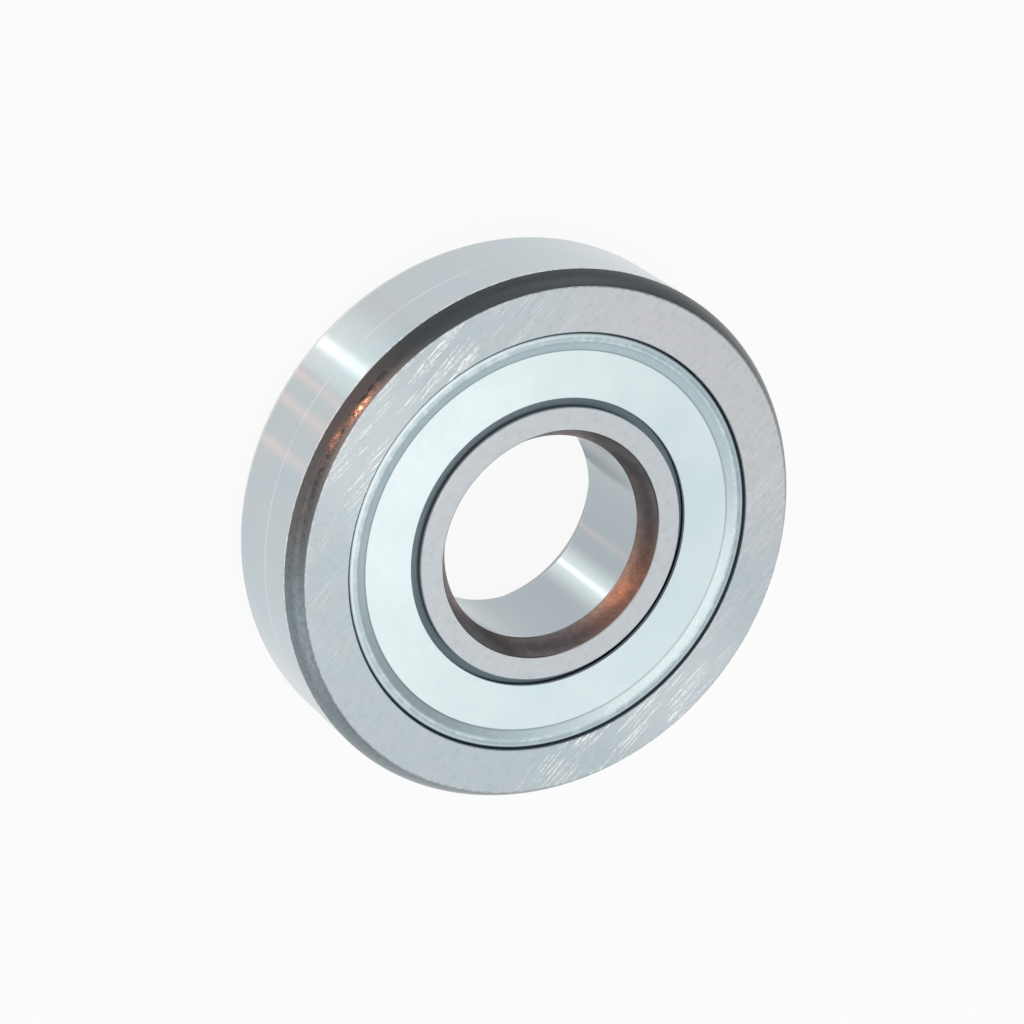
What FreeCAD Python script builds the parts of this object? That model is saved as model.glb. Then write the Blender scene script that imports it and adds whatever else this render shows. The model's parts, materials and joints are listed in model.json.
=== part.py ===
"""Guide roller: a shielded deep-groove ball bearing with a thick outer ring that runs on a rail.

The roller lies on its rear side face. The origin is its centre, on the bore's axis at mid-width, and +Z
points out of the front face. Every piece is worked out from the bore outwards and from the balls' plane to
the side faces, so one size can change and its neighbours follow. Millimetres.
"""
import math
import os

import FreeCAD
import Part

# Section across the rings, from the bore outwards
bore_diameter = 20.0
inner_wall = 2.75            # steel between the bore and the floor of the inner raceway
ball_diameter = 7.94         # a 5/16 inch ball
ball_clearance = 0.03        # running room between a ball and each raceway
outer_wall = 5.25            # steel between the floor of the outer raceway and the tread
shoulder_height = 1.45       # depth of both raceways below their shoulders
raceway_conformity = 0.52    # raceway radius as a share of the ball's diameter

# Stack from the balls' plane to a side face
pocket_clearance = 0.12      # room for a ball in its cage pocket
cage_sheet = 0.70
shield_gap = 1.26            # air between the cage and the shield
shield_sheet = 0.35
shield_recess = 0.60         # how far the foot of the shield's bead lies below the side face

# Corners and edges of the rings
corner_radial = 1.15         # reach of a corner along the side face
corner_axial = 2.10          # reach of a corner along the bore or the tread
corner_bulge = 0.13          # how far the rounded corner stands out from a straight chamfer
edge_break = 0.06            # small chamfer where a side face meets the shield's room

# Stepped end of the inner ring, under the lip of the shield
land_step = 0.80             # the end of the ring is this much thinner than its shoulder
lip_gap = 0.75               # ring-shaped gap between that end and the lip of the shield
lip_room = 0.25              # axial room between the lip and the step

# Recess of the outer ring and the rim of the shield that is rolled into it
seat_width = 1.26            # ledge that the shield's rim sits on
rim_gap = 0.08               # open trench between the bead and the wall of the recess
seat_depth = 1.45            # depth of the ledge below the side face
undercut_depth = 0.55        # how far the undercut reaches behind the wall of the recess
undercut_flank = 0.25        # height of its sloping upper side
rim_play = 0.10              # room above the rim in the undercut
rim_end_play = 0.14          # room between the rim's end and the undercut's wall
shield_dish = 0.18           # how far the lip stands in front of the foot of the bead
bead_width = 1.77            # radial width of the bead, slope included
bead_slope = 0.90            # radial width of the slope on its inner side, from foot to crown
bead_height = 0.43           # height of the crown over the foot, before the crown is rounded
bead_fall = 0.07             # how far the bead falls from the crown to its outer bend
foot_bend = 0.32             # bend radii of the sheet's middle line
crown_bend = 0.70
wall_bend = 0.15
rim_bend = 0.30

# Cage and rivets
ball_count = 8
ribbon_width = 3.30          # radial width of the cage's ribbon
rivet_diameter = 1.20
rivet_head_diameter = 1.90
rivet_head_height = 0.45
rivet_clearance = 0.02

# Radii that follow, from the bore outwards
bore_radius = bore_diameter / 2
ball_radius = ball_diameter / 2
inner_floor = bore_radius + inner_wall
pitch_radius = inner_floor + ball_clearance + ball_radius
outer_floor = pitch_radius + ball_radius + ball_clearance
tread_radius = outer_floor + outer_wall
inner_shoulder = inner_floor + shoulder_height
outer_shoulder = outer_floor - shoulder_height
land_radius = inner_shoulder - land_step
lip_radius = land_radius + lip_gap
recess_radius = outer_shoulder + seat_width
undercut_radius = recess_radius + undercut_depth
raceway_radius = raceway_conformity * ball_diameter

# Heights that follow, from the balls' plane to the side face
pocket_radius = ball_radius + pocket_clearance
cage_height = pocket_radius + cage_sheet
half_width = cage_height + shield_gap + shield_sheet + shield_recess
step_height = half_width - shield_recess + shield_dish - shield_sheet - lip_room
seat_height = half_width - seat_depth
raceway_half_width = math.sqrt(raceway_radius ** 2 - (raceway_radius - shoulder_height) ** 2)

AXIS = FreeCAD.Vector(0, 0, 1)
CENTRE = FreeCAD.Vector(0, 0, 0)


def at(radius, height):
    """A point of the half section, in the plane through the axis."""
    return FreeCAD.Vector(radius, 0, height)


def line(start, end):
    return Part.LineSegment(at(*start), at(*end)).toShape()


def arc(start, middle, end):
    return Part.Arc(at(*start), at(*middle), at(*end)).toShape()


def polyline(*points):
    return [line(a, b) for a, b in zip(points, points[1:])]


def mirrored(points):
    """The same points on the other side of the balls' plane, in reverse order."""
    return [(radius, -height) for radius, height in reversed(points)]


def ring(edges):
    """Turns a closed half section about the axis."""
    section = Part.Face(Part.Wire(Part.__sortEdges__(edges)))
    return section.revolve(CENTRE, AXIS, 360)


def rounded_corner(start, end, outwards):
    """A corner from start to end that stands out from its chord by the bulge. Outwards is +1 or -1, the
    radial side that the corner faces."""
    radial, axial = end[0] - start[0], end[1] - start[1]
    length = math.hypot(radial, axial)
    normal = (abs(axial) / length * outwards, math.copysign(abs(radial) / length, start[1] + end[1]))
    middle_radius = (start[0] + end[0]) / 2 + normal[0] * corner_bulge
    middle_height = (start[1] + end[1]) / 2 + normal[1] * corner_bulge
    return arc(start, (middle_radius, middle_height), end)


def inner_ring():
    """Bore, rounded corners, side faces, stepped ends and the raceway."""
    corner_height = half_width - corner_axial
    side = [
        (bore_radius + corner_radial, half_width),
        (land_radius - edge_break, half_width),
        (land_radius, half_width - edge_break),
        (land_radius, step_height),
        (inner_shoulder, step_height),
        (inner_shoulder, raceway_half_width),
    ]
    top, bottom = (bore_radius, corner_height), (bore_radius, -corner_height)
    edges = polyline(*side) + polyline(*mirrored(side)) + [
        line(top, bottom),
        rounded_corner(top, side[0], outwards=-1),
        rounded_corner(bottom, mirrored(side)[-1], outwards=-1),
        arc(side[-1], (inner_floor, 0), mirrored(side)[0]),
    ]
    return ring(edges)


def outer_ring():
    """Tread, rounded corners, side faces, the undercut recesses of the shields and the raceway."""
    corner_height = half_width - corner_axial
    undercut_top = seat_height + shield_sheet + rim_play
    side = [
        (tread_radius - corner_radial, half_width),
        (recess_radius + edge_break, half_width),
        (recess_radius, half_width - edge_break),
        (recess_radius, undercut_top + undercut_flank),
        (undercut_radius, undercut_top),
        (undercut_radius, seat_height),
        (outer_shoulder, seat_height),
        (outer_shoulder, raceway_half_width),
    ]
    top, bottom = (tread_radius, corner_height), (tread_radius, -corner_height)
    edges = polyline(*side) + polyline(*mirrored(side)) + [
        line(top, bottom),
        rounded_corner(top, side[0], outwards=1),
        rounded_corner(bottom, mirrored(side)[-1], outwards=1),
        arc(side[-1], (outer_floor, 0), mirrored(side)[0]),
    ]
    return ring(edges)


def bent_sheet(corners, bends, thickness):
    """The section of a pressed sheet: its middle line runs through the corners, is rounded to each bend
    radius, and has half the thickness on either side."""
    points = [FreeCAD.Vector(radius, height, 0) for radius, height in corners]
    runs = [(b - a).normalize() for a, b in zip(points, points[1:])]
    sides = [FreeCAD.Vector(-run.y, run.x, 0) for run in runs]

    def place(point):
        return (point.x, point.y)

    def edge_of_sheet(offset):
        """The straight runs and bends at one offset from the middle line."""
        edges = []
        start = points[0] + sides[0] * offset
        for corner, bend, before, after, side, next_side in zip(
            points[1:-1], bends, runs, runs[1:], sides, sides[1:]
        ):
            turn = math.atan2(before.x * after.y - before.y * after.x, before.dot(after))
            reach = bend * math.tan(abs(turn) / 2)
            hand = math.copysign(1.0, turn)
            centre = corner - before * reach + side * (hand * bend)
            radius = bend - hand * offset
            bisector = (side + next_side).normalize()
            bend_start = centre - side * (hand * radius)
            bend_middle = centre - bisector * (hand * radius)
            bend_end = centre - next_side * (hand * radius)
            edges.append(line(place(start), place(bend_start)))
            edges.append(arc(place(bend_start), place(bend_middle), place(bend_end)))
            start = bend_end
        end = points[-1] + sides[-1] * offset
        edges.append(line(place(start), place(end)))
        return edges, points[0] + sides[0] * offset, end

    upper, upper_start, upper_end = edge_of_sheet(thickness / 2)
    lower, lower_start, lower_end = edge_of_sheet(-thickness / 2)
    ends = [line(place(upper_start), place(lower_start)), line(place(upper_end), place(lower_end))]
    return upper + lower + ends


def shield():
    """Front shield: a slightly dished washer, a rounded bead, and a rim that turns down and out into the
    undercut."""
    bead_outside = recess_radius - rim_gap
    bead_foot = bead_outside - bead_width
    foot_height = half_width - shield_recess - shield_sheet / 2
    crown_height = foot_height + bead_height
    wall_radius = bead_outside - shield_sheet / 2
    rim_height = seat_height + shield_sheet / 2
    corners = [
        (lip_radius, foot_height + shield_dish),
        (bead_foot, foot_height),
        (bead_foot + bead_slope, crown_height),
        (wall_radius, crown_height - bead_fall),
        (wall_radius, rim_height),
        (undercut_radius - rim_end_play, rim_height),
    ]
    return ring(bent_sheet(corners, [foot_bend, crown_bend, wall_bend, rim_bend], shield_sheet))


def turned_over(shape):
    """The same piece on the rear side of the roller, turned over about the X axis."""
    copy = shape.copy()
    copy.rotate(CENTRE, FreeCAD.Vector(1, 0, 0), 180)
    return copy


def ball_angle(number):
    return 360 / ball_count * number


def around(shape, angle):
    copy = shape.copy()
    copy.rotate(CENTRE, AXIS, angle)
    return copy


def ball(number):
    return around(Part.makeSphere(ball_radius, FreeCAD.Vector(pitch_radius, 0, 0)), ball_angle(number))


def rivet_angle(number):
    """Each rivet sits halfway between two balls."""
    return ball_angle(number + 0.5)


def tube(outer, inner, bottom, height):
    base = FreeCAD.Vector(0, 0, bottom)
    return Part.makeCylinder(outer, height, base).cut(Part.makeCylinder(inner, height, base))


def cage_half():
    """Front half of the ribbon cage: a flat ribbon between the balls, pressed into a half-round pocket over
    each ball, with a rivet hole in each flat."""
    middle = FreeCAD.Vector(pitch_radius, 0, 0)
    ribbon_outside = pitch_radius + ribbon_width / 2
    ribbon_inside = pitch_radius - ribbon_width / 2
    flats = tube(ribbon_outside, ribbon_inside, 0, cage_sheet)
    band = tube(ribbon_outside, ribbon_inside, 0, cage_height + cage_sheet)
    domes = [around(Part.makeSphere(cage_height, middle), ball_angle(n)) for n in range(ball_count)]
    pockets = [around(Part.makeSphere(pocket_radius, middle), ball_angle(n)) for n in range(ball_count)]
    hole = Part.makeCylinder(rivet_diameter / 2 + rivet_clearance, cage_sheet, middle)
    holes = [around(hole, rivet_angle(n)) for n in range(ball_count)]
    pressed = flats.fuse([band.common(dome) for dome in domes])
    return pressed.cut(pockets + holes).removeSplitter()


def rivet():
    """Round-headed rivet through both halves of the cage, at angle zero. Each head is a cap of a sphere."""
    head_radius = rivet_head_diameter / 2
    shank_radius = rivet_diameter / 2
    dome_radius = (head_radius ** 2 + rivet_head_height ** 2) / (2 * rivet_head_height)
    dome_centre = cage_sheet + rivet_head_height - dome_radius
    half_way = math.asin(head_radius / dome_radius) / 2
    dome = (dome_radius * math.sin(half_way), dome_centre + dome_radius * math.cos(half_way))
    crown = (0, cage_sheet + rivet_head_height)
    head = [(shank_radius, cage_sheet), (head_radius, cage_sheet)]
    edges = [
        *polyline(*head),
        *polyline(*mirrored(head)),
        line(head[0], mirrored(head)[-1]),
        arc(head[-1], dome, crown),
        arc(mirrored(head)[0], mirrored([dome])[0], mirrored([crown])[0]),
        line(crown, mirrored([crown])[0]),
    ]
    turned = ring(edges)
    turned.translate(FreeCAD.Vector(pitch_radius, 0, 0))
    return turned


def rivets():
    one = rivet()
    return Part.makeCompound([around(one, rivet_angle(n)) for n in range(ball_count)])


def build():
    """Every piece of the roller by name, where it sits in the assembly."""
    front_shield = shield()
    front_half = cage_half()
    pieces = {
        "inner_ring": inner_ring(),
        "outer_ring": outer_ring(),
        "front_shield": front_shield,
        "rear_shield": turned_over(front_shield),
        "cage_front": front_half,
        "cage_rear": turned_over(front_half),
        "cage_rivets": rivets(),
    }
    for number in range(ball_count):
        pieces[f"ball_{number + 1}"] = ball(number)
    return pieces


os.makedirs("parts", exist_ok=True)
for name, shape in build().items():
    print(f"{name}: {len(shape.Solids)} solid(s), {shape.Volume:.1f} mm3, valid {shape.isValid()}")
    shape.exportStep(f"parts/{name}.step")
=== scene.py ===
"""Looks of the guide roller: its rings and shields are turned again as smooth surfaces with eased edges,
and every piece gets its finish. Metres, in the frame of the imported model: +Z comes out of the front side
face. The picture is taken from above, with the -Y side near and the +Y side far."""
import json
import math

import bpy
import numpy as np
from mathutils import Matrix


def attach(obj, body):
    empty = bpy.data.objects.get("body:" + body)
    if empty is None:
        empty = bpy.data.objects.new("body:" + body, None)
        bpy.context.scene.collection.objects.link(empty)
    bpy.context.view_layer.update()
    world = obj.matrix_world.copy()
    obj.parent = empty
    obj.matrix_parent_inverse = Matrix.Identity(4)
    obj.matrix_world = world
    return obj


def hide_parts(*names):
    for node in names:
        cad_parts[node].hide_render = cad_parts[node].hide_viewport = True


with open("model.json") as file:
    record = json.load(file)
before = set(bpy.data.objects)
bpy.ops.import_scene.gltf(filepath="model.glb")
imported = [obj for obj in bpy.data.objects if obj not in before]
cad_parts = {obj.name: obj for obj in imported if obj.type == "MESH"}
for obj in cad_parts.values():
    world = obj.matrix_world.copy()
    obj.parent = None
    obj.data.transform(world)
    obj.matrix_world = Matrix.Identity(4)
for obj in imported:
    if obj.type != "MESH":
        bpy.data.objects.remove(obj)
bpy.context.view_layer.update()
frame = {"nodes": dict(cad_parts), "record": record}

# Inner ring: the thin ring that sits still on the stud. Hardened bearing steel, turned with stepped ends
# and a round groove for the balls. The bore and side faces are ground bright; corners and steps keep the
# dark skin of the heat treatment.
MM = 0.001
bore_radius = frame["record"]["mounts"][0]["dims"]["r_mm"] * MM
half_width = 7.0 * MM
corner_radial = 1.15 * MM
corner_axial = 2.10 * MM
corner_bulge = 0.13 * MM
corner_steps = 8
edge_break = 0.06 * MM
ring_ease = 0.09 * MM
raceway_radius = 4.129 * MM
raceway_steps = 16
shoulder_height = 1.45 * MM
inner_shoulder = 14.20 * MM
inner_land = 13.40 * MM
inner_step = 5.98 * MM

# Zones of a ring's section, in the order of its finishes.
WALL, FACE, SKIN, EDGE, BORE_CORNER = range(5)


def bulged(start, end, bulge, steps):
    """An arc in the section from start to end, as points. Its middle stands off the chord by the bulge,
    to the right of the way it runs; the points are evenly turned about the arc's centre."""
    start, end = np.array(start), np.array(end)
    chord = end - start
    length = np.hypot(*chord)
    right = np.array([chord[1], -chord[0]]) / length
    radius = (length ** 2 / 4 + bulge ** 2) / (2 * bulge)
    centre = (start + end) / 2 + right * (bulge - radius)
    reach = math.asin(length / 2 / abs(radius))
    turn = np.linspace(-reach, reach, steps + 1)[:, None]
    return centre + radius * np.cos(turn) * right + abs(radius) * np.sin(turn) * chord / length


def both_sides(raceway, half, zones):
    """A ring's closed section and the zone of each run of it: the raceway, one half from shoulder to
    round wall, and that half mirrored. The runs that join them are ground walls."""
    section = np.concatenate([raceway, half, half[::-1] * (1, -1)])
    return section, np.concatenate([np.full(len(raceway), WALL), zones, [WALL], zones[::-1], [WALL]])


def eased(section, zones, ease, steps=4, least_turn=11, most_of_run=0.4):
    """Eases the edges of a closed section that runs anticlockwise. Where it turns by more than the least
    turn, in degrees, the corner P gives way to the curve P - e(1 - t)^2 a + e t^2 b, between the way in,
    a, and the way out, b. The ease e takes no more than a share of either run. Returns the points, their
    outward normals and the zone of the run that leaves each point, which is EDGE on an ease between two
    zones."""
    into = section - np.roll(section, 1, axis=0)
    onward = np.roll(section, -1, axis=0) - section
    long_in, long_on = np.hypot(*into.T), np.hypot(*onward.T)
    a, b = (into / long_in[:, None])[:, None, :], (onward / long_on[:, None])[:, None, :]
    sharp = (a * b).sum(axis=2) < math.cos(math.radians(least_turn))
    reach = np.minimum(ease, most_of_run * np.minimum(long_in, long_on))[:, None]
    reach = np.where(sharp, reach, 0)[..., None]
    t = np.linspace(0, 1, steps + 1)[None, :, None]
    points = section[:, None, :] - reach * (1 - t) ** 2 * a + reach * t ** 2 * b
    way = np.where(sharp[..., None], (1 - t) * a + t * b, (a + b) / 2)
    normals = np.stack([way[..., 1], -way[..., 0]], axis=-1)
    normals /= np.linalg.norm(normals, axis=-1, keepdims=True)
    meeting = sharp & (t[..., 0] < 1) & (np.roll(zones, 1) != zones)[:, None]
    zone = np.where(meeting, EDGE, np.broadcast_to(zones[:, None], meeting.shape))
    kept = sharp | (np.arange(steps + 1) == 0)[None, :]
    return points[kept], normals[kept], zone[kept]


def turned(name, section, zones, finishes, ease, sides=540):
    """A piece turned on a lathe: point i of the eased section is carried round the axis in equal steps j,
    to (r cos a, r sin a, h). Each quad joins steps j and j + 1 of points i and i + 1, and both ways close
    on themselves."""
    points, normals, zones = eased(np.asarray(section), np.asarray(zones), ease)
    angle = np.arange(sides) * 2 * math.pi / sides
    around = np.stack([np.cos(angle), np.sin(angle)], axis=-1)

    def carried(flat):
        spun = flat[:, None, :1] * around[None]
        tall = np.broadcast_to(flat[:, None, 1:], (len(flat), sides, 1))
        return np.concatenate([spun, tall], axis=-1).reshape(-1, 3)

    i, j = np.meshgrid(np.arange(len(points)), np.arange(sides), indexing="ij")
    here, after = i * sides, (i + 1) % len(points) * sides
    next_side = (j + 1) % sides
    quads = np.stack([here + j, here + next_side, after + next_side, after + j], axis=-1)
    mesh = bpy.data.meshes.new(name)
    mesh.from_pydata(carried(points), [], quads.reshape(-1, 4))
    for finish in finishes:
        mesh.materials.append(finish)
    mesh.polygons.foreach_set("material_index", np.repeat(zones, sides).astype(np.int32))
    mesh.shade_smooth()
    mesh.normals_split_custom_set_from_vertices(carried(normals))
    piece = bpy.data.objects.new(name, mesh)
    bpy.context.scene.collection.objects.link(piece)
    return piece


class Shade:
    """A socket of a node tree. Arithmetic on it adds Math nodes, and node() adds any other node."""

    def __init__(self, tree, socket=None):
        self.tree, self.socket = tree, socket

    def node(self, kind, settings=(), sockets=(), output=0):
        """Adds a node: its settings are set first, then its sockets are set or linked. Gives the named
        output, or one Shade for each of several."""
        made = self.tree.nodes.new(kind)
        for key, value in dict(settings).items():
            setattr(made, key, value)
        for key, value in dict(sockets).items():
            if isinstance(value, Shade):
                self.tree.links.new(value.socket, made.inputs[key])
            else:
                made.inputs[key].default_value = value
        if isinstance(output, tuple):
            return tuple(Shade(self.tree, made.outputs[key]) for key in output)
        return Shade(self.tree, made.outputs[output])

    def math(self, operation, *values):
        return self.node("ShaderNodeMath", {"operation": operation}, enumerate(values))

    def __add__(self, other):
        return self.math("ADD", self, other)

    def __sub__(self, other):
        return self.math("SUBTRACT", self, other)

    def __rsub__(self, other):
        return self.math("SUBTRACT", other, self)

    def __mul__(self, other):
        return self.math("MULTIPLY", self, other)

    def __pow__(self, other):
        return self.math("POWER", self, other)

    def __abs__(self):
        return self.math("ABSOLUTE", self)

    def __or__(self, other):
        """The greater of the two."""
        return self.math("MAXIMUM", self, other)

    __radd__, __rmul__ = __add__, __mul__

    def between(self, low, high):
        """0 at low, 1 at high, and a smooth step between them; low may be above high."""
        sockets = {"Value": self, "From Min": low, "From Max": high}
        return self.node("ShaderNodeMapRange", {"interpolation_type": "SMOOTHSTEP"}, sockets)

    def mix(self, low, high):
        """A colour between low and high, by this value. Each is a Shade, or red, green and blue."""
        low, high = (end if isinstance(end, Shade) else (*end, 1) for end in (low, high))
        sockets = {"Factor": self, 6: low, 7: high}
        return self.node("ShaderNodeMix", {"data_type": "RGBA"}, sockets, output=2)


def new_finish(name, **sockets):
    """A material with a Principled shader, its constant sockets set, and a Shade to draw nodes with."""
    finish = bpy.data.materials.new(name)
    finish.use_nodes = True
    shader = finish.node_tree.nodes["Principled BSDF"]
    for key, value in sockets.items():
        shader.inputs[key.replace("_", " ")].default_value = value
    return finish, shader, Shade(finish.node_tree)


def join(shader, **sockets):
    """Links shades into the shader's sockets."""
    for key, value in sockets.items():
        value.tree.links.new(value.socket, shader.inputs[key.replace("_", " ")])


def places(draw):
    """The piece's own coordinates x, y and z, and the radius from the axis."""
    place = draw.node("ShaderNodeTexCoord", output="Object")
    x, y, z = draw.node("ShaderNodeSeparateXYZ", {}, {"Vector": place}, output=("X", "Y", "Z"))
    return x, y, z, (x * x + y * y) ** 0.5


def drawn_out(draw, size, turn=0, seed=0):
    """The piece's own coordinates, in units of a size (along, across, up) in metres and turned about the
    axis. Each seed shifts them to another place."""
    place = draw.node("ShaderNodeTexCoord", output="Object")
    shift = (seed * 13.7 * MM, seed * 7.1 * MM, 0)
    sockets = {"Vector": place, "Location": shift, "Rotation": (0, 0, math.radians(turn)), "Scale": size}
    return draw.node("ShaderNodeMapping", {"vector_type": "TEXTURE"}, sockets)


def cloud(draw, size, turn=0, seed=0, detail=2.0):
    """Noise drawn out to a size."""
    place = drawn_out(draw, size, turn, seed)
    sockets = {"Vector": place, "Scale": 1.0, "Detail": detail, "Roughness": 0.6}
    return draw.node("ShaderNodeTexNoise", {}, sockets)


def rubs(draw, size, turn, seed, share):
    """Single straight rubs: the face is divided into long narrow cells, and in a share of them, taken by
    chance, a thin ellipse about the cell's own point is marked."""
    sockets = {"Vector": drawn_out(draw, (*size, 1), turn, seed), "Scale": 1.0}
    settings = {"voronoi_dimensions": "2D"}
    distance, chance = draw.node("ShaderNodeTexVoronoi", settings, sockets, output=("Distance", "Color"))
    chance = draw.node("ShaderNodeSeparateColor", {}, {"Color": chance})
    return distance.between(0.52, 0.38) * chance.between(0.99 - share, 1.0 - share)


def relief(height, strength, depth):
    """The normal of a surface that a height raises by up to a depth."""
    return height.node("ShaderNodeBump", {}, {"Strength": strength, "Distance": depth, "Height": height})


def ground_wall():
    """Bore, tread and raceways: ground bright, with fine lines along the turn, and darker in the bore as
    painted shade, for the shaded floor seen in it. One faint hairline runs round the tread; it is broken in
    places, and fades on the far side and at one end."""
    finish, shader, draw = new_finish("ground wall", Metallic=1.0)
    x, y, z, radius = places(draw)
    lines = cloud(draw, (30 * MM, 30 * MM, 0.12 * MM), seed=8, detail=3)
    patches = cloud(draw, [7 * MM] * 3, seed=9)
    in_bore = radius.between(18 * MM, 12 * MM)
    on_tread = radius.between(25 * MM, 25.5 * MM)
    hairline = abs(z - 0.6 * MM).between(0.10 * MM, 0.04 * MM) * on_tread
    hairline = hairline * cloud(draw, [14 * MM] * 3, seed=4).between(0.28, 0.5)
    hairline = hairline * y.between(15 * MM, -5 * MM) * x.between(-20 * MM, -12 * MM)
    hairline = hairline * abs(x + 2 * MM).between(1.6 * MM, 3.4 * MM)
    steel = patches.between(0.3, 0.7).mix((0.485, 0.565, 0.60), (0.53, 0.57, 0.59))
    # Painted shade: the bore is painted darker for the shaded floor that it reflects.
    steel = in_bore.mix(steel, (0.42, 0.475, 0.50))
    steel = (hairline * 0.6).mix(steel, (0.80, 0.84, 0.85))
    join(shader, Base_Color=steel, Roughness=0.14 + lines * 0.14, Normal=relief(lines, 0.06, 0.02 * MM))
    return finish


def ground_face():
    """Side faces: ground flat, with a fine straight grain and soft blotches, and a painted rose-tinted
    reflection to one side. The outer ring's were rubbed straight across in handling, so they have single
    rubs, painted bright as glints in clusters on the near and far sides where the highlight falls, and a
    soft painted highlight there. The inner ring's are a little paler."""
    finish, shader, draw = new_finish("ground side face", Metallic=1.0)
    x, y, _, radius = places(draw)
    grain = cloud(draw, (1.8 * MM, 0.14 * MM, 1), turn=-8, detail=3)
    cross = cloud(draw, (2.5 * MM, 0.15 * MM, 1), turn=58, seed=2)
    patches = cloud(draw, (5 * MM, 3 * MM, 1), seed=3)
    blotches = cloud(draw, (0.9 * MM, 0.6 * MM, 1), turn=-8, seed=22, detail=3)
    # Painted highlight: a soft band painted brighter where the highlight falls on the near and far sides.
    painted_sheen = abs(x - 3 * MM).between(10 * MM, 3 * MM) * abs(y).between(11 * MM, 20 * MM)
    # Painted reflection: a rose tint on one side of the face.
    painted_rosy_reflection = x.between(-6 * MM, -20 * MM) * y.between(-22 * MM, -6 * MM)
    inner = radius.between(16 * MM, 13 * MM)
    # The rubs are handling marks; their clustering on the near and far sides and their near-white colour
    # are painted glints where the highlight falls.
    bunch = 0.2 + abs(x - y * 0.3 - 4 * MM).between(14 * MM, 5 * MM) * 0.8
    bunch = cloud(draw, (5 * MM, 2.5 * MM, 1), turn=8, seed=14).between(0.34, 0.58) * bunch
    bunch = bunch * abs(y).between(4 * MM, 16 * MM) * radius.between(16 * MM, 20 * MM)
    broken = 0.15 + cloud(draw, (0.45 * MM, 0.3 * MM, 1), turn=-7, seed=18).between(0.42, 0.52) * 0.85
    bright = rubs(draw, (7 * MM, 0.10 * MM), -5, 5, 0.13) | rubs(draw, (4 * MM, 0.10 * MM), -9, 6, 0.11)
    bright = (bright | rubs(draw, (10 * MM, 0.11 * MM), -1, 7, 0.08)) * bunch * broken
    steel = patches.between(0.3, 0.7).mix((0.493, 0.582, 0.605), (0.532, 0.592, 0.610))
    steel = (painted_rosy_reflection * 0.7).mix(steel, (0.65, 0.62, 0.625))
    steel = inner.mix(steel, (0.58, 0.615, 0.635))
    steel = (grain.between(0.35, 0.75) * 0.4).mix(steel, (0.62, 0.67, 0.68))
    steel = (blotches.between(0.45, 0.70) * 0.3).mix(steel, (0.42, 0.455, 0.47))
    steel = (painted_sheen * 0.35).mix(steel, (0.72, 0.77, 0.78))
    # Painted glints: the rubs are painted near-white.
    steel = (bright * 1.5).mix(steel, (0.95, 0.97, 0.97))
    marks = grain * 0.7 + cross * 0.3 - bright * 0.4
    join(shader, Base_Color=steel, Roughness=0.26 + marks * 0.16, Normal=relief(marks, 0.10, 0.03 * MM))
    return finish


def dark_skin():
    """Outer corners and steps: turned, then darkened in heat treatment and never ground. The skin is
    black, with a painted grey reflection to one side; on the near side it has a painted brown reflection
    of warm light, with glossy grains, and is painted lighter by the side face. The rear corners are
    paler, as painted light. In the gaps beside the shields a film of grease dulls it: lighter on the near
    side, with painted shade in a band round the land of the inner ring, whose edge is pale, and dark in
    the shield's seat."""
    finish, shader, draw = new_finish("dark heat-treated skin")
    x, y, z, radius = places(draw)
    depth = half_width - abs(z)
    mottle = cloud(draw, [0.5 * MM] * 3, seed=15, detail=4)
    lines = cloud(draw, (6 * MM, 6 * MM, 0.10 * MM), seed=16, detail=3)
    # Painted reflection: the skin is painted grey toward one side.
    side = (x * 0.98 - y * 0.20).between(4 * MM, 25 * MM)
    near = y.between(-17 * MM, -25 * MM) * (x + 8 * MM).between(0, 8 * MM)
    rear = z.between(-1 * MM, -3 * MM)
    beside_tread = side.mix((0.058, 0.066, 0.070), (0.21, 0.255, 0.275))
    # Painted reflection: on the near side the skin is painted brown for warm light.
    beside_tread = (near * 0.7).mix(beside_tread, (0.138, 0.104, 0.098))
    beside_face = side.mix((0.150, 0.165, 0.172), (0.52, 0.60, 0.63))
    beside_face = (near * 0.7).mix(beside_face, (0.36, 0.275, 0.25))
    # Painted reflection: on the near side the corner is painted lighter by the side face.
    painted_light_by_face = y.between(-6 * MM, -18 * MM) * depth.between(1.3 * MM, 0.2 * MM)
    skin = painted_light_by_face.mix(beside_tread, beside_face)
    skin = (mottle.between(0.40, 0.65) * 0.3).mix(skin, (0.10, 0.10, 0.10))
    # Painted light: the rear corners are painted pale.
    skin = (rear * 0.9).mix(skin, (0.64, 0.68, 0.69))
    # The film is lighter on the near side.
    film = y.between(-4 * MM, -13 * MM).mix((0.17, 0.235, 0.265), (0.31, 0.38, 0.41))
    # Painted shade: a dark band down the land wall of the inner ring, in the gap below the shield's lip.
    painted_gap_shade = depth.between(0.22 * MM, 0.34 * MM) * depth.between(0.80 * MM, 0.62 * MM)
    land = painted_gap_shade.mix(film, (0.06, 0.065, 0.075))
    land = depth.between(0.24 * MM, 0.16 * MM).mix(land, (0.42, 0.44, 0.45))
    film = radius.between(inner_land + 0.1 * MM, inner_land + 0.2 * MM).mix(land, film)
    in_seat = radius.between(20.0 * MM, 20.3 * MM)
    film = in_seat.mix(film, (0.085, 0.11, 0.13))
    grease = radius.between(21.8 * MM, 21.3 * MM)
    skin = grease.mix(skin, film)
    glossy = near * mottle.between(0.62, 0.40)
    marks = mottle * 0.5 + lines * 0.5
    join(shader, Base_Color=skin, Metallic=1.0 - grease * 0.85, Normal=relief(marks, 0.35, 0.02 * MM))
    join(shader, Roughness=0.30 - glossy * 0.22 + grease * 0.2)
    return finish


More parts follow.
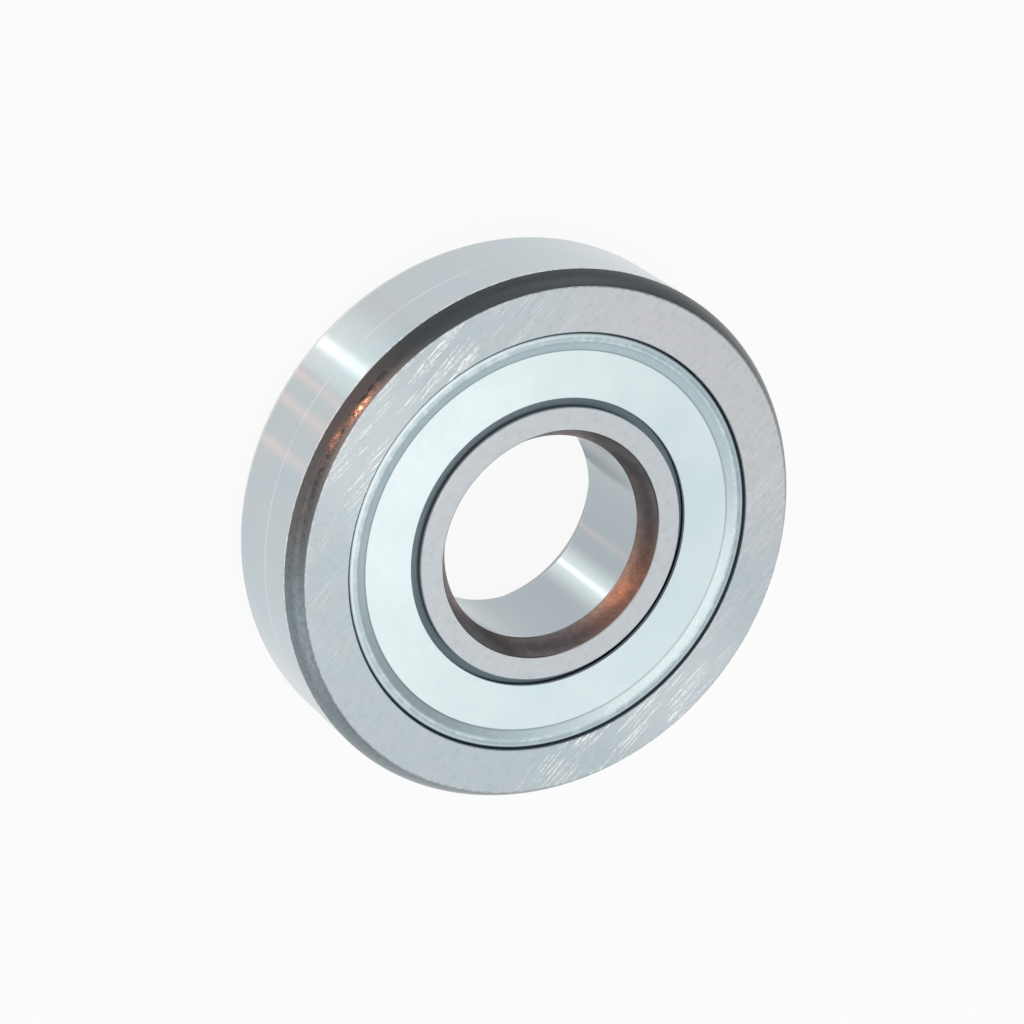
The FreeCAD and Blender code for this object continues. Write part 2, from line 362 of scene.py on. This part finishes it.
def brown_skin():
    """Corners of the bore: the same skin, but dull and brown, and darker at both ends of X. The front one
    has a painted warm reflection on the far side, with glinting grains painted brighter, and the rear
    one is paler, as painted light."""
    finish, shader, draw = new_finish("brown skin", Metallic=1.0, Specular_Tint=(0.5, 0.5, 0.5, 1))
    x, y, z, _ = places(draw)
    mottle = cloud(draw, [0.7 * MM] * 3, seed=15, detail=4)
    grains = cloud(draw, [0.25 * MM] * 3, seed=19, detail=3)
    # Painted reflection: a warm glow on the far side of the front bore corner, with glinting grains painted
    # brighter.
    painted_warm_glow = abs(x + 1 * MM).between(8 * MM, 2 * MM) * y.between(5 * MM, 10 * MM)
    rear = z.between(-1 * MM, -3 * MM)
    brown = abs(x).between(9.3 * MM, 10.4 * MM).mix((0.37, 0.295, 0.295), (0.155, 0.15, 0.155))
    brown = (painted_warm_glow * 0.8).mix(brown, (0.56, 0.29, 0.19))
    brown = (mottle.between(0.35, 0.75) * 0.5).mix(brown, (0.15, 0.135, 0.135))
    brown = (painted_warm_glow * grains.between(0.52, 0.66) * 0.6).mix(brown, (0.70, 0.42, 0.30))
    # Painted light: the rear bore corner is painted pale.
    brown = rear.mix(brown, (0.62, 0.65, 0.66))
    bumps = relief(mottle + grains, 0.25, 0.02 * MM)
    join(shader, Base_Color=brown, Roughness=0.28 + mottle * 0.16, Normal=bumps)
    return finish


def worn_edge():
    """Edges where a ground surface meets another or the dark skin: rubbed bright, more in some places. At
    the bore they are duller, and dark at both ends of X, and at the rear they are evenly pale, as painted
    light."""
    finish, shader, draw = new_finish("worn edge", Metallic=1.0)
    x, _, z, radius = places(draw)
    patches = cloud(draw, [0.5 * MM] * 3, seed=17, detail=4)
    at_bore = radius.between(12.4 * MM, 11.8 * MM)
    steel = patches.between(0.32, 0.68).mix((0.48, 0.50, 0.51), (0.78, 0.81, 0.82))
    bore_edge = abs(x).between(6.5 * MM, 9 * MM).mix((0.45, 0.42, 0.40), (0.13, 0.11, 0.11))
    steel = at_bore.mix(steel, bore_edge)
    # Painted light: edges at the rear are painted evenly pale.
    steel = z.between(-4 * MM, -2 * MM).mix((0.60, 0.63, 0.64), steel)
    join(shader, Base_Color=steel, Roughness=0.45 - patches * 0.2)
    return finish


ring_finishes = [ground_wall(), ground_face(), dark_skin(), worn_edge(), brown_skin()]

raceway_half = math.sqrt(raceway_radius ** 2 - (raceway_radius - shoulder_height) ** 2)
raceway_ends = (inner_shoulder, -raceway_half), (inner_shoulder, raceway_half)
corner_ends = (bore_radius + corner_radial, half_width), (bore_radius, half_width - corner_axial)
upper_half = np.concatenate([
    [
        (inner_shoulder, inner_step),
        (inner_land, inner_step),
        (inner_land, half_width - edge_break),
        (inner_land - edge_break, half_width),
    ],
    bulged(*corner_ends, -corner_bulge, corner_steps),
])
raceway = bulged(*raceway_ends, -shoulder_height, raceway_steps)
section, zones = both_sides(raceway, upper_half, [SKIN] * 2 + [FACE] * 2 + [BORE_CORNER] * corner_steps)
inner_ring = turned("inner_ring_ground", section, zones, ring_finishes, ring_ease)
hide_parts("inner_ring")
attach(inner_ring, "inner_race")

# Balls: hardened and polished bearing steel. They are true spheres already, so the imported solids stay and
# only get their finish.
ball_count = 8
polished, shader, draw = new_finish("polished ball steel", Metallic=1.0)
film = cloud(draw, [2 * MM] * 3, seed=21)
join(shader, Base_Color=film.mix((0.58, 0.60, 0.62), (0.66, 0.67, 0.68)), Roughness=0.05 + film * 0.06)
for number in range(1, ball_count + 1):
    frame["nodes"][f"ball_{number}"].material_slots[0].material = polished

# Cage and its rivets: two ribbons pressed from plain steel sheet with a pocket over each ball, held
# together by small round-headed rivets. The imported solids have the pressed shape, so they stay and get
# their finish.
pressed, shader, draw = new_finish("pressed cage steel", Metallic=1.0)
scale = cloud(draw, [0.4 * MM] * 3, seed=31, detail=4)
cage_colour = scale.mix((0.36, 0.36, 0.35), (0.48, 0.48, 0.46))
join(shader, Base_Color=cage_colour, Roughness=0.30 + scale * 0.2, Normal=relief(scale, 0.15, 0.03 * MM))
for name in ("cage_front", "cage_rear", "cage_rivets"):
    frame["nodes"][name].material_slots[0].material = pressed

# Outer ring: the thick ring whose ground outside runs on the rail. Same steel and finishes as the inner
# ring, with an undercut recess on each side that the shields are rolled into.
tread_radius = 26.0 * MM
outer_shoulder = 19.30 * MM
recess_radius = 20.56 * MM
undercut_radius = 21.11 * MM
seat_height = 5.55 * MM
undercut_top = 6.00 * MM
undercut_lip = 6.25 * MM

raceway_ends = (outer_shoulder, raceway_half), (outer_shoulder, -raceway_half)
corner_ends = (tread_radius - corner_radial, -half_width), (tread_radius, corner_axial - half_width)
lower_half = np.concatenate([
    [
        (outer_shoulder, -seat_height),
        (undercut_radius, -seat_height),
        (undercut_radius, -undercut_top),
        (recess_radius, -undercut_lip),
        (recess_radius, edge_break - half_width),
        (recess_radius + edge_break, -half_width),
    ],
    bulged(*corner_ends, corner_bulge, corner_steps),
])
raceway = bulged(*raceway_ends, -shoulder_height, raceway_steps)
section, zones = both_sides(raceway, lower_half, [SKIN] * 4 + [FACE] * 2 + [SKIN] * corner_steps)
outer_ring = turned("outer_ring_ground", section, zones, ring_finishes, ring_ease)
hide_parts("outer_ring")
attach(outer_ring, "outer_race")

# Shields: two washers pressed from thin zinc-plated sheet. Each is dished a little, with a rounded bead
# and a rim that turns down and out, and is rolled into the undercut of the outer ring.
shield_sheet = 0.35 * MM
lip_radius = 14.15 * MM
rim_gap = 0.08 * MM
rim_end_play = 0.14 * MM
shield_recess = 0.60 * MM
shield_dish = 0.18 * MM
bead_width = 1.77 * MM
bead_slope = 0.90 * MM
bead_height = 0.43 * MM
bead_fall = 0.07 * MM
foot_bend = 0.32 * MM
crown_bend = 0.70 * MM
wall_bend = 0.15 * MM
rim_bend = 0.30 * MM
shield_ease = 0.06 * MM

bead_outside = recess_radius - rim_gap
bead_foot = bead_outside - bead_width
foot_height = half_width - shield_recess - shield_sheet / 2
crown_height = foot_height + bead_height
wall_radius = bead_outside - shield_sheet / 2
rim_height = seat_height + shield_sheet / 2
shield_line = np.array([
    (lip_radius, foot_height + shield_dish),
    (bead_foot, foot_height),
    (bead_foot + bead_slope, crown_height),
    (wall_radius, crown_height - bead_fall),
    (wall_radius, rim_height),
    (undercut_radius - rim_end_play, rim_height),
])


def bent_sheet(line, bends, thickness, steps=10):
    """The closed section of a bent sheet. The middle line is rounded to each bend radius by turning about
    the bend's centre, and half the thickness is set off along the normal to either side."""
    way = np.diff(line, axis=0)
    way /= np.linalg.norm(way, axis=1, keepdims=True)
    left = np.stack([-way[:, 1], way[:, 0]], axis=-1)
    before, after = way[:-1], way[1:]
    turn = np.arctan2(before[:, 0] * after[:, 1] - before[:, 1] * after[:, 0], (before * after).sum(axis=1))
    hand = np.sign(turn)[:, None]
    start = line[1:-1] - before * (bends * np.tan(abs(turn) / 2))[:, None]
    centre = start + left[:-1] * hand * bends[:, None]
    spin = (turn[:, None] * np.linspace(0, 1, steps + 1))[..., None]
    normal = np.cos(spin) * left[:-1, None, :] - np.sin(spin) * before[:, None, :]
    bent = centre[:, None, :] - normal * (hand * bends[:, None])[:, None, :]
    middle = np.concatenate([line[:1], bent.reshape(-1, 2), line[-1:]])
    normal = np.concatenate([left[:1], normal.reshape(-1, 2), left[-1:]]) * thickness / 2
    return np.concatenate([middle - normal, (middle + normal)[::-1]])


def zinc_plate():
    """Zinc on pressed sheet: pale and slightly green, with soft clouding and a fine tooth. The bead's
    crown is rubbed dull in blotches, its slope is chalky, and its foot is darker. The cut edge of the
    lip is bare and dull."""
    finish, shader, draw = new_finish("zinc plate")
    *_, radius = places(draw)
    patches = cloud(draw, [5 * MM] * 3, seed=11)
    tooth = cloud(draw, [0.6 * MM] * 3, seed=12, detail=2)
    chalk = cloud(draw, [0.25 * MM] * 3, seed=13, detail=3).between(0.54, 0.62)
    chalk = chalk * abs(radius - bead_foot - 0.35 * MM).between(0.4 * MM, 0.2 * MM)
    # A darker line along the bead's foot.
    dark_foot = abs(radius - bead_foot).between(0.13 * MM, 0.03 * MM)
    crown = abs(radius - bead_foot - 1.08 * MM).between(0.46 * MM, 0.14 * MM)
    blotches = cloud(draw, [0.9 * MM] * 3, seed=23, detail=3).between(0.48, 0.60)
    bare = radius.between(lip_radius + 0.06 * MM, lip_radius + 0.01 * MM)
    zinc = patches.between(0.3, 0.7).mix((0.73, 0.84, 0.85), (0.77, 0.875, 0.88))
    zinc = (chalk * 0.5).mix(zinc, (0.97, 0.98, 0.98))
    zinc = (dark_foot * 0.55).mix(zinc, (0.30, 0.33, 0.34))
    zinc = (crown * (0.82 - blotches * 0.35)).mix(zinc, (0.44, 0.535, 0.57))
    zinc = bare.mix(zinc, (0.46, 0.52, 0.56))
    join(shader, Base_Color=zinc, Metallic=1.0 - bare * 0.8, Normal=relief(patches, 0.02, 0.03 * MM))
    join(shader, Roughness=0.27 + tooth * 0.08 + bare * 0.2)
    return finish


shield_bends = np.array([foot_bend, crown_bend, wall_bend, rim_bend])
shield_section = bent_sheet(shield_line, shield_bends, shield_sheet)
zinc = zinc_plate()
for side, section in (("front", shield_section), ("rear", shield_section[::-1] * (1, -1))):
    shield = turned(f"{side}_shield_pressed", section, np.zeros(len(section)), [zinc], shield_ease)
    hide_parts(f"{side}_shield")
    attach(shield, "outer_race")

# Floor: a plain white sheet that the roller lies on. It shows white to the eye and in the steel, and
# keeps a soft shadow of the roller.
floor_reach = 3.0
white_to_eye = 0.90
white_in_steel = 0.88


def stage_sheet(name, points, quads):
    """A sheet on the stage, from points and quads of them."""
    mesh = bpy.data.meshes.new(name)
    mesh.from_pydata(points, [], quads)
    sheet = bpy.data.objects.new(name, mesh)
    bpy.context.scene.collection.objects.link(sheet)
    return sheet


corners = np.array([(-1, -1, 0), (1, -1, 0), (1, 1, 0), (-1, 1, 0)]) * floor_reach
floor = stage_sheet("floor", corners - (0, 0, half_width), [(0, 1, 2, 3)])
matt = {"Base_Color": (0.9, 0.9, 0.9, 1), "Roughness": 1.0, "Specular_IOR_Level": 0.0}
paper, shader, draw = new_finish("white paper", **matt)
rays = ("Is Camera Ray", "Is Glossy Ray", "Is Transmission Ray")
eye, gloss, through = draw.node("ShaderNodeLightPath", output=rays)
plain = (eye | through) * white_to_eye | gloss * white_in_steel
glow = draw.node("ShaderNodeEmission", {}, {"Color": (1, 1, 1, 1), "Strength": 1.0})
lit = Shade(paper.node_tree, shader.outputs["BSDF"])
white = draw.node("ShaderNodeMixShader", {}, {"Fac": plain, 1: lit, 2: glow})
join(paper.node_tree.nodes["Material Output"], Surface=white)
paper.cycles.emission_sampling = "NONE"
floor.data.materials.append(paper)

# Light: a white tent with a bright window overhead, darker near the horizon and at one panel, with a soft
# box above, low warm lamps on the near side, and narrow cards on the floor that the tread and the bore
# show as stripes along the axis.
world = bpy.data.worlds.new("light tent")
bpy.context.scene.world = world
world.use_nodes = True
draw = Shade(world.node_tree)
way = draw.node("ShaderNodeTexCoord", output="Generated")
x, y, z = draw.node("ShaderNodeSeparateXYZ", {}, {"Vector": way}, output=("X", "Y", "Z"))
eye = draw.node("ShaderNodeLightPath", output="Is Camera Ray")
low = y.between(-0.6, 0.8).mix((0.27, 0.285, 0.30), (0.50, 0.555, 0.60))
window = y.between(0.58, 0.38).mix((1.35, 1.32, 1.315), (1.29, 1.225, 1.22))
window = y.between(0.30, -0.20).mix(window, (1.03, 1.03, 1.03))
off_window = abs(x - 0.03) * (1.1 + (y | 0.0)) + (y - 0.32 | 0.0) * 1.03
high = off_window.between(0.30, 0.66).mix(window, (0.53, 0.585, 0.62))
tent = z.between(0.05, 0.48).mix(low, high)
panel = (y * 0.60 - x * 0.66 + z * 0.45).between(0.86, 0.985)
tent = (panel * 0.75).mix(tent, (0.20, 0.21, 0.22))
join(draw.tree.nodes["Background"], Color=eye.mix(tent, (1, 1, 1)))


def soft_box(name, place, target, size, power, spin=0, colour=(1, 1, 1)):
    """A rectangular lamp at a place, turned to face the target."""
    lamp = bpy.data.lights.new(name, "AREA")
    lamp.shape, lamp.size, lamp.size_y = "RECTANGLE", *size
    lamp.energy, lamp.color = power, colour
    box = bpy.data.objects.new(name, lamp)
    bpy.context.scene.collection.objects.link(box)
    back = np.array(place) - np.array(target)
    tilt = math.acos(back[2] / np.linalg.norm(back))
    box.rotation_euler = (tilt, 0, math.atan2(back[1], back[0]) + math.pi / 2 + math.radians(spin))
    box.location = place
    return box


warm = (1.0, 0.42, 0.20)
overhead = soft_box("overhead", (0.175, 0.105, 0.6), (0.175, 0.105, 0), (0.7, 0.7), 0.42, spin=-60)
overhead.visible_glossy = False
soft_box("warm lamp 1", (0.013, -0.38, 0.085), (0, 0, 0), (0.030, 0.015), 0.065, colour=warm)
soft_box("warm lamp 2", (0.100, -0.37, 0.025), (0, 0, 0), (0.015, 0.010), 0.030, colour=warm)

near_eye = np.array([0, -0.197])
card_start = 0.1 * MM
card_margin = 0.02 * MM
tread_reach = 11 * MM
bore_reach = 2.4 * MM
bore_steepness = 4.4


def stripe_card(name, wall, azimuth, half_angle, lift, edge, middle, rows=23, columns=5):
    """A card that a round wall of radius R, at an azimuth, shows as a stripe along the axis. It runs from
    the wall's foot by a distance s, the way a look from the near side is thrown back, turned from the
    wall's normal by an angle a. A look that meets the wall off the stripe by the angle d passes the card's
    middle at (R cos a + 2s)d, so the card is that wide. It lies a small lift above the floor. A bore takes
    R as negative, and its card stands steeply, short of where the bore gathers the light. The light goes
    from the edge to the middle in a smooth step."""
    outside = wall > 0
    foot = abs(wall) * np.array([math.cos(math.radians(azimuth)), math.sin(math.radians(azimuth))])
    normal = azimuth if outside else azimuth - 180
    to_eye = near_eye - foot
    way = math.radians(2 * normal) - math.atan2(to_eye[1], to_eye[0])
    along = np.linspace(card_start, tread_reach if outside else bore_reach, rows)
    height = lift - half_width + along * (0 if outside else bore_steepness)
    spread = abs(wall * math.cos(way - math.radians(normal)) + 2 * along)
    off = spread * math.radians(half_angle) + card_margin
    across = np.linspace(-1, 1, columns)
    spots = np.stack([np.broadcast_to(along[:, None], (rows, columns)), off[:, None] * across], axis=-1)
    turn = np.array([(math.cos(way), math.sin(way)), (-math.sin(way), math.cos(way))])
    spots = foot + spots.reshape(-1, 2) @ turn
    i, j = np.meshgrid(np.arange(rows - 1), np.arange(columns - 1), indexing="ij")
    here = i * columns + j
    quads = np.stack([here, here + columns, here + columns + 1, here + 1], axis=-1).reshape(-1, 4)
    card = stage_sheet(name, np.column_stack([spots, np.repeat(height, columns)]), quads)
    card.data.attributes.new("across", "FLOAT", "POINT").data.foreach_set("value", np.tile(across, rows))
    card.visible_camera = card.visible_diffuse = card.visible_shadow = False
    finish, _, draw = new_finish(name)
    off_middle = abs(draw.node("ShaderNodeAttribute", {"attribute_name": "across"}, output="Fac"))
    colour = off_middle.between(1.0, 0.0).mix(edge, middle)
    glow = draw.node("ShaderNodeEmission", {}, {"Color": colour, "Strength": 1.0})
    join(finish.node_tree.nodes["Material Output"], Surface=glow)
    finish.cycles.emission_sampling = "NONE"
    card.data.materials.append(finish)


low_card, middle_card, top_card = 0.02 * MM, 0.04 * MM, 0.06 * MM
pale = (0.95, 0.95, 0.95)
bright_stripes = ("outside", tread_radius, -94.3, 1.0), ("inside", -bore_radius, 85.9, 1.3)
for place, wall, azimuth, gain in bright_stripes:
    wide, narrow = np.array([1.26, 1.26, 1.22]) * gain, np.array([2.1, 2.1, 2.1]) * gain
    stripe_card(f"wide card {place}", wall, azimuth, 15.0, low_card, (0.93, 0.93, 0.93), wide)
    stripe_card(f"bright card {place}", wall, azimuth, 2.2, middle_card, wide, narrow)
stripe_card("grey card inside", -bore_radius, 153, 14.0, low_card, (0.88, 0.88, 0.88), (0.58, 0.59, 0.60))
for number, azimuth in enumerate((-86.5, -80.8, -71.8), start=1):
    stripe_card(f"rose card {number}", tread_radius, azimuth, 1.8, top_card, pale, (1.30, 1.06, 1.0))
stripe_card("rose card inside", -bore_radius, 108.9, 2.0, top_card, pale, (1.25, 1.03, 0.98))

# Camera: a long lens at the photograph's angle, rolled so that the roller's axis points down to the
# right. The middle of the front face is placed in the camera's own axes.
lens = 130.87
sensor_width = 36.0
view_tilt = math.radians(34.378)
view_roll = math.radians(127.47)
face_in_view = np.array([3.715, -3.058, -342.9]) * MM
back = np.array([0, -math.sin(view_tilt), math.cos(view_tilt)])
level, rise = np.array([1, 0, 0]), np.array([0, math.cos(view_tilt), math.sin(view_tilt)])
right = math.cos(view_roll) * level + math.sin(view_roll) * rise
top = -math.sin(view_roll) * level + math.cos(view_roll) * rise
axes = np.column_stack([right, top, back])
matrix = np.eye(4)
matrix[:3, :3] = axes
matrix[:3, 3] = np.array([0, 0, half_width]) - axes @ face_in_view
camera = bpy.data.objects.new("camera", bpy.data.cameras.new("camera"))
camera.data.lens, camera.data.sensor_width = lens, sensor_width
camera.data.clip_start = 0.01
camera.matrix_world = matrix.T
bpy.context.scene.collection.objects.link(camera)
bpy.context.scene.camera = camera
bpy.context.scene.view_settings.view_transform = "Standard"
